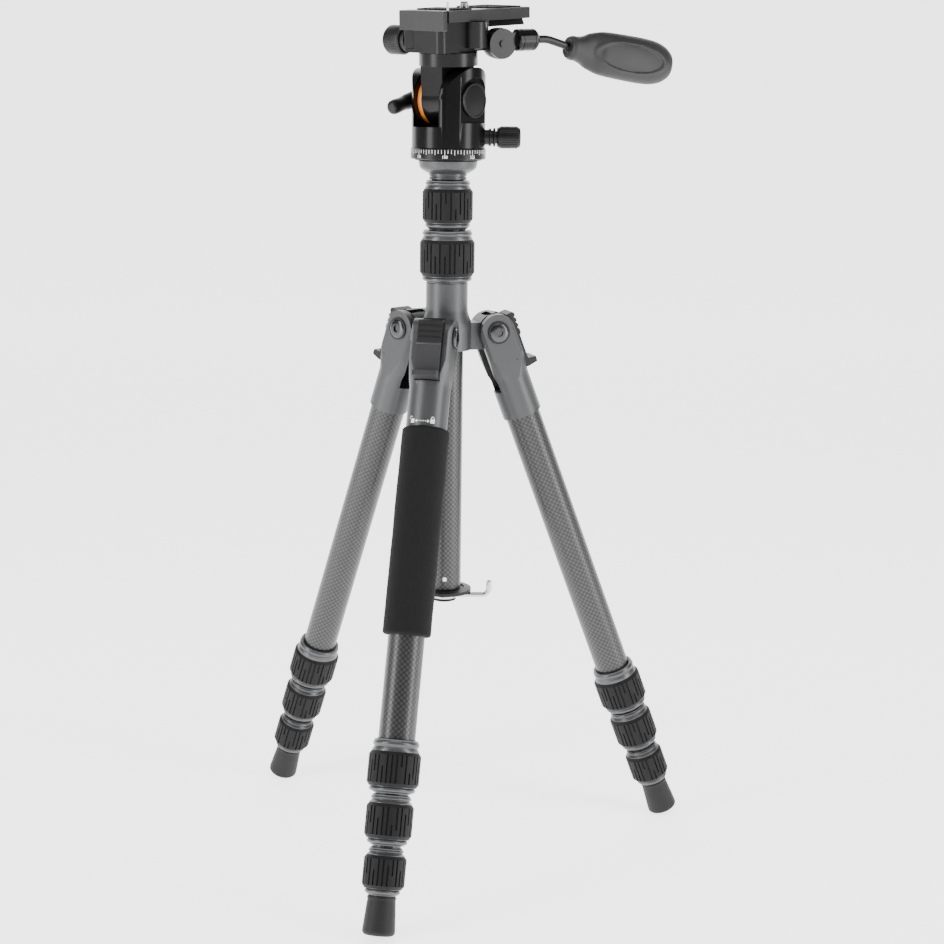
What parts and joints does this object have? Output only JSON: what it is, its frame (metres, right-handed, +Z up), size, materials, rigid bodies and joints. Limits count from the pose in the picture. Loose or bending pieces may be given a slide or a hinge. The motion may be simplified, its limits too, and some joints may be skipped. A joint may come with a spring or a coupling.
{
  "type": "tripod",
  "caption": "Compact travel tripod with carbon legs in twist-locked sections, a two-section centre column, and a pan and tilt head with quick plate and handle.",
  "frame": {"origin": "on the floor, on the axis of the centre column", "axes": "+Z up along the centre column, -Y towards the leg with the foam grip, +X to the right"},
  "size_m": [0.3442, 0.3078, 0.635],
  "materials": {
    "casting": "satin dark grey anodised casting",
    "carbon": "satin woven carbon fibre tube",
    "lock": "metal collar under a ribbed matte rubber sleeve",
    "rubber": "matte black rubber",
    "foam": "matte black closed-cell foam",
    "latch": "ribbed satin plastic",
    "steel": "bright steel",
    "head_black": "gloss black anodised",
    "clamp_grey": "satin grey-black anodised",
    "knob": "satin black moulded knob",
    "friction": "orange friction ring",
    "handle": "soft-touch moulded grip"
  },
  "bodies": {
    "spider": {"spider": "casting", "leg_pivot_bolts": "steel"},
    "leg_a": {"leg_a_casting": "casting", "leg_a_tube_1": "carbon", "leg_grip": "foam"},
    "leg_a_latch": {"leg_a_latch": "latch"},
    "leg_a_section_2": {"leg_a_tube_2": "carbon"},
    "leg_a_lock_1": {"leg_a_lock_1": "lock"},
    "leg_a_section_3": {"leg_a_tube_3": "carbon"},
    "leg_a_lock_2": {"leg_a_lock_2": "lock"},
    "leg_a_section_4": {"leg_a_tube_4": "carbon", "leg_a_foot": "rubber"},
    "leg_a_lock_3": {"leg_a_lock_3": "lock"},
    "leg_b": {"leg_b_casting": "casting", "leg_b_tube_1": "carbon"},
    "leg_b_latch": {"leg_b_latch": "latch"},
    "leg_b_section_2": {"leg_b_tube_2": "carbon"},
    "leg_b_lock_1": {"leg_b_lock_1": "lock"},
    "leg_b_section_3": {"leg_b_tube_3": "carbon"},
    "leg_b_lock_2": {"leg_b_lock_2": "lock"},
    "leg_b_section_4": {"leg_b_tube_4": "carbon", "leg_b_foot": "rubber"},
    "leg_b_lock_3": {"leg_b_lock_3": "lock"},
    "leg_c": {"leg_c_casting": "casting", "leg_c_tube_1": "carbon"},
    "leg_c_latch": {"leg_c_latch": "latch"},
    "leg_c_section_2": {"leg_c_tube_2": "carbon"},
    "leg_c_lock_1": {"leg_c_lock_1": "lock"},
    "leg_c_section_3": {"leg_c_tube_3": "carbon"},
    "leg_c_lock_2": {"leg_c_lock_2": "lock"},
    "leg_c_section_4": {"leg_c_tube_4": "carbon", "leg_c_foot": "rubber"},
    "leg_c_lock_3": {"leg_c_lock_3": "lock"},
    "column": {"column_tube": "carbon", "column_end_cap": "latch"},
    "spider_lock": {"spider_lock": "lock"},
    "column_lock": {"column_lock": "lock"},
    "hook": {"weight_hook": "steel"},
    "inner_column": {"inner_column_tube": "carbon", "column_top_plate": "casting", "pan_base": "head_black"},
    "pan": {"head_housing": "head_black", "friction_ring": "friction"},
    "wing_knob": {"ball_wing_knob": "knob"},
    "pan_knob": {"pan_lock_knob": "knob"},
    "selector": {"selector_cap": "knob"},
    "tilt": {"ball_stem": "head_black", "clamp_body": "clamp_grey"},
    "jaw": {"clamp_jaw": "clamp_grey"},
    "clamp_knob": {"clamp_knob": "knob"},
    "plate": {"quick_plate": "clamp_grey", "plate_pads": "rubber"},
    "camera_screw": {"camera_screw": "steel"},
    "twist_pin": {"twist_pin": "steel"},
    "handle": {"handle_joint": "head_black", "handle_rod": "head_black", "handle_grip": "handle"},
    "handle_nut": {"handle_nut": "knob"}
  },
  "joints": [
    {"name": "leg_a_spread", "type": "hinge", "parent": "spider", "child": "leg_a", "pos_m": [0, -0.036, 0.39712], "axis": [-1, 0, 0], "range_deg": [-17, 59]},
    {"name": "leg_a_latch_pull", "type": "slide", "parent": "leg_a", "child": "leg_a_latch", "axis": [0, -0.9336, 0.3584], "range_m": [0, 0.0045], "stiffness_N_per_m": 400, "springref_m": -0.004},
    {"name": "leg_a_section_2_slide", "type": "slide", "parent": "leg_a", "child": "leg_a_section_2", "axis": [0, -0.3584, -0.9336], "range_m": [0, 0.201]},
    {"name": "leg_a_lock_1_twist", "type": "hinge", "parent": "leg_a", "child": "leg_a_lock_1", "pos_m": [0, -0.036, 0.39712], "axis": [0, -0.3584, -0.9336], "range_deg": [0, 120]},
    {"name": "leg_a_section_3_slide", "type": "slide", "parent": "leg_a_section_2", "child": "leg_a_section_3", "axis": [0, -0.3584, -0.9336], "range_m": [0, 0.237]},
    {"name": "leg_a_lock_2_twist", "type": "hinge", "parent": "leg_a_section_2", "child": "leg_a_lock_2", "pos_m": [0, -0.036, 0.39712], "axis": [0, -0.3584, -0.9336], "range_deg": [0, 120]},
    {"name": "leg_a_section_4_slide", "type": "slide", "parent": "leg_a_section_3", "child": "leg_a_section_4", "axis": [0, -0.3584, -0.9336], "range_m": [0, 0.272]},
    {"name": "leg_a_lock_3_twist", "type": "hinge", "parent": "leg_a_section_3", "child": "leg_a_lock_3", "pos_m": [0, -0.036, 0.39712], "axis": [0, -0.3584, -0.9336], "range_deg": [0, 120]},
    {"name": "leg_b_spread", "type": "hinge", "parent": "spider", "child": "leg_b", "pos_m": [0.03118, 0.018, 0.39712], "axis": [0.5, -0.866, 0], "range_deg": [-17, 59]},
    {"name": "leg_b_latch_pull", "type": "slide", "parent": "leg_b", "child": "leg_b_latch", "axis": [0.8085, 0.4668, 0.3584], "range_m": [0, 0.0045], "stiffness_N_per_m": 400, "springref_m": -0.004},
    {"name": "leg_b_section_2_slide", "type": "slide", "parent": "leg_b", "child": "leg_b_section_2", "axis": [0.3104, 0.1792, -0.9336], "range_m": [0, 0.201]},
    {"name": "leg_b_lock_1_twist", "type": "hinge", "parent": "leg_b", "child": "leg_b_lock_1", "pos_m": [0.03118, 0.018, 0.39712], "axis": [0.3104, 0.1792, -0.9336], "range_deg": [0, 120]},
    {"name": "leg_b_section_3_slide", "type": "slide", "parent": "leg_b_section_2", "child": "leg_b_section_3", "axis": [0.3104, 0.1792, -0.9336], "range_m": [0, 0.237]},
    {"name": "leg_b_lock_2_twist", "type": "hinge", "parent": "leg_b_section_2", "child": "leg_b_lock_2", "pos_m": [0.03118, 0.018, 0.39712], "axis": [0.3104, 0.1792, -0.9336], "range_deg": [0, 120]},
    {"name": "leg_b_section_4_slide", "type": "slide", "parent": "leg_b_section_3", "child": "leg_b_section_4", "axis": [0.3104, 0.1792, -0.9336], "range_m": [0, 0.272]},
    {"name": "leg_b_lock_3_twist", "type": "hinge", "parent": "leg_b_section_3", "child": "leg_b_lock_3", "pos_m": [0.03118, 0.018, 0.39712], "axis": [0.3104, 0.1792, -0.9336], "range_deg": [0, 120]},
    {"name": "leg_c_spread", "type": "hinge", "parent": "spider", "child": "leg_c", "pos_m": [-0.03118, 0.018, 0.39712], "axis": [0.5, 0.866, 0], "range_deg": [-17, 59]},
    {"name": "leg_c_latch_pull", "type": "slide", "parent": "leg_c", "child": "leg_c_latch", "axis": [-0.8085, 0.4668, 0.3584], "range_m": [0, 0.0045], "stiffness_N_per_m": 400, "springref_m": -0.004},
    {"name": "leg_c_section_2_slide", "type": "slide", "parent": "leg_c", "child": "leg_c_section_2", "axis": [-0.3104, 0.1792, -0.9336], "range_m": [0, 0.201]},
    {"name": "leg_c_lock_1_twist", "type": "hinge", "parent": "leg_c", "child": "leg_c_lock_1", "pos_m": [-0.03118, 0.018, 0.39712], "axis": [-0.3104, 0.1792, -0.9336], "range_deg": [0, 120]},
    {"name": "leg_c_section_3_slide", "type": "slide", "parent": "leg_c_section_2", "child": "leg_c_section_3", "axis": [-0.3104, 0.1792, -0.9336], "range_m": [0, 0.237]},
    {"name": "leg_c_lock_2_twist", "type": "hinge", "parent": "leg_c_section_2", "child": "leg_c_lock_2", "pos_m": [-0.03118, 0.018, 0.39712], "axis": [-0.3104, 0.1792, -0.9336], "range_deg": [0, 120]},
    {"name": "leg_c_section_4_slide", "type": "slide", "parent": "leg_c_section_3", "child": "leg_c_section_4", "axis": [-0.3104, 0.1792, -0.9336], "range_m": [0, 0.272]},
    {"name": "leg_c_lock_3_twist", "type": "hinge", "parent": "leg_c_section_3", "child": "leg_c_lock_3", "pos_m": [-0.03118, 0.018, 0.39712], "axis": [-0.3104, 0.1792, -0.9336], "range_deg": [0, 120]},
    {"name": "column_slide", "type": "slide", "parent": "spider", "child": "column", "axis": [0, 0, 1], "range_m": [0, 0.15]},
    {"name": "spider_lock_twist", "type": "hinge", "parent": "spider", "child": "spider_lock", "pos_m": [0, 0, 0.43402], "axis": [0, 0, 1], "range_deg": [0, 120]},
    {"name": "column_lock_twist", "type": "hinge", "parent": "column", "child": "column_lock", "pos_m": [0, 0, 0.47292], "axis": [0, 0, 1], "range_deg": [0, 120]},
    {"name": "hook_swivel", "type": "hinge", "parent": "column", "child": "hook", "pos_m": [0, 0, 0.20212], "axis": [0, 0, 1], "continuous": true},
    {"name": "inner_column_slide", "type": "slide", "parent": "column", "child": "inner_column", "axis": [0, 0, 1], "range_m": [0, 0.2]},
    {"name": "head_pan", "type": "hinge", "parent": "inner_column", "child": "pan", "pos_m": [0, 0, 0.53112], "axis": [0, 0, 1], "continuous": true},
    {"name": "wing_knob_turn", "type": "hinge", "parent": "pan", "child": "wing_knob", "pos_m": [0, 0, 0.56512], "axis": [-0.891, 0.454, 0], "range_deg": [-90, 90]},
    {"name": "pan_lock_turn", "type": "hinge", "parent": "pan", "child": "pan_knob", "pos_m": [0, 0, 0.53892], "axis": [0.9511, 0.309, 0], "range_deg": [-180, 180]},
    {"name": "selector_turn", "type": "hinge", "parent": "pan", "child": "selector", "pos_m": [0, 0, 0.56512], "axis": [0.891, -0.454, 0], "range_deg": [0, 90]},
    {"name": "head_tilt", "type": "hinge", "parent": "pan", "child": "tilt", "pos_m": [0, 0, 0.56512], "axis": [0.891, -0.454, 0], "range_deg": [-60, 75]},
    {"name": "clamp_jaw_slide", "type": "slide", "parent": "tilt", "child": "jaw", "axis": [-0.8917, 0.4508, 0.0418], "range_m": [0, 0.0025]},
    {"name": "clamp_knob_turn", "type": "hinge", "parent": "tilt", "child": "clamp_knob", "pos_m": [-0.00711, -0.01782, 0.60577], "axis": [-0.8917, 0.4508, 0.0418], "range_deg": [0, 720]},
    {"name": "plate_slide", "type": "slide", "parent": "tilt", "child": "plate", "axis": [0.4527, 0.8885, 0.075], "range_m": [0, 0.06]},
    {"name": "camera_screw_turn", "type": "hinge", "parent": "plate", "child": "camera_screw", "pos_m": [0.00836, 0.01054, 0.62984], "axis": [0.0033, -0.0858, 0.9963], "continuous": true},
    {"name": "twist_pin_press", "type": "slide", "parent": "plate", "child": "twist_pin", "axis": [-0.0033, 0.0858, -0.9963], "range_m": [0, 0.005], "stiffness_N_per_m": 100, "springref_m": -0.002},
    {"name": "handle_angle", "type": "hinge", "parent": "tilt", "child": "handle", "pos_m": [0.03473, 0.00872, 0.6054], "axis": [-0.6611, 0.7474, 0.0665], "range_deg": [-35, 30]},
    {"name": "handle_nut_turn", "type": "hinge", "parent": "handle", "child": "handle_nut", "pos_m": [0.03679, 0.00623, 0.60719], "axis": [0.7503, 0.6589, 0.0542], "range_deg": [-180, 180]}
  ],
  "couplings": [
    {"joint": "clamp_knob_turn", "follows": "clamp_jaw_slide", "rad_per_m": 5026.5}
  ]
}
